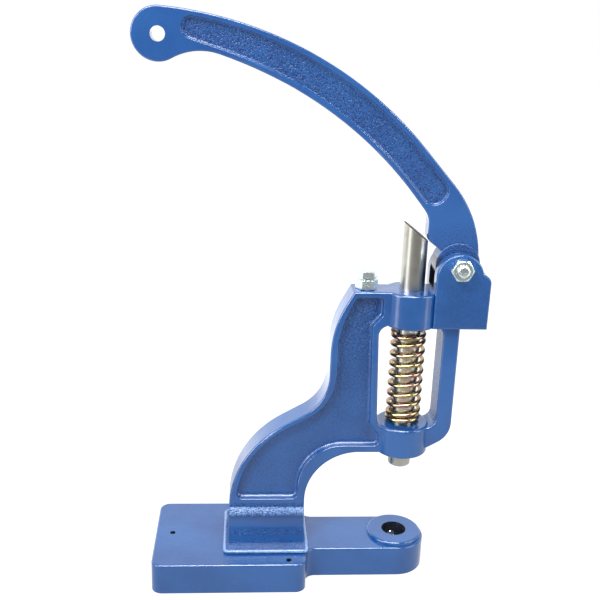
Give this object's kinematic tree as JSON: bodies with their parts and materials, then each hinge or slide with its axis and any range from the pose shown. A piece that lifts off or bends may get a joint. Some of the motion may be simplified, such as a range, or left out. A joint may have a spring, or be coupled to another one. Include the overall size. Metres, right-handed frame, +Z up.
{
  "type": "hand eyelet press",
  "caption": "Hand lever press for setting eyelets: cast frame on a flat base, curved lever on a pivot bolt, sprung ram above a die bore in the arm.",
  "frame": {"origin": "on the axis of the ram and the lower die bore, at the underside of the base", "axes": "+X along the die arm away from the column, +Y across the frame away from the nut of the pivot bolt, +Z up along the ram"},
  "size_m": [0.2807, 0.0978, 0.4637],
  "materials": {
    "casting_enamel": "gloss",
    "lever_enamel": "gloss",
    "ram_steel": "satin",
    "pin_steel": "satin",
    "spring_passivate": "gloss",
    "bolt_zinc": "satin",
    "nut_zinc": "satin",
    "stop_zinc": "satin",
    "lock_zinc": "satin",
    "screw_zinc": "satin"
  },
  "bodies": {
    "frame": {"body_casting": "casting_enamel", "pivot_bolt": "bolt_zinc", "pivot_nut": "nut_zinc", "stop_bolt": "stop_zinc", "stop_lock_nut": "lock_zinc", "return_spring": "spring_passivate"},
    "lever": {"lever": "lever_enamel"},
    "ram": {"ram": "ram_steel", "spring_pin": "pin_steel"},
    "set_screw": {"die_set_screw": "screw_zinc"}
  },
  "joints": [
    {"name": "lever_hinge", "type": "hinge", "parent": "frame", "child": "lever", "pos_m": [0.0338, 0, 0.2755], "axis": [0, -1, 0], "range_deg": [0, 58]},
    {"name": "ram_slide", "type": "slide", "parent": "frame", "child": "ram", "axis": [0, 0, -1], "range_m": [0, 0.0372], "stiffness_N_per_m": 9400, "springref_m": -0.01, "deforming": ["return_spring"]},
    {"name": "set_screw_slide", "type": "slide", "parent": "frame", "child": "set_screw", "axis": [0, 1, 0], "range_m": [0, 0.006]}
  ],
  "couplings": [
    {"joint": "ram_slide", "follows": "lever_hinge", "m_per_rad": 0.0366}
  ]
}
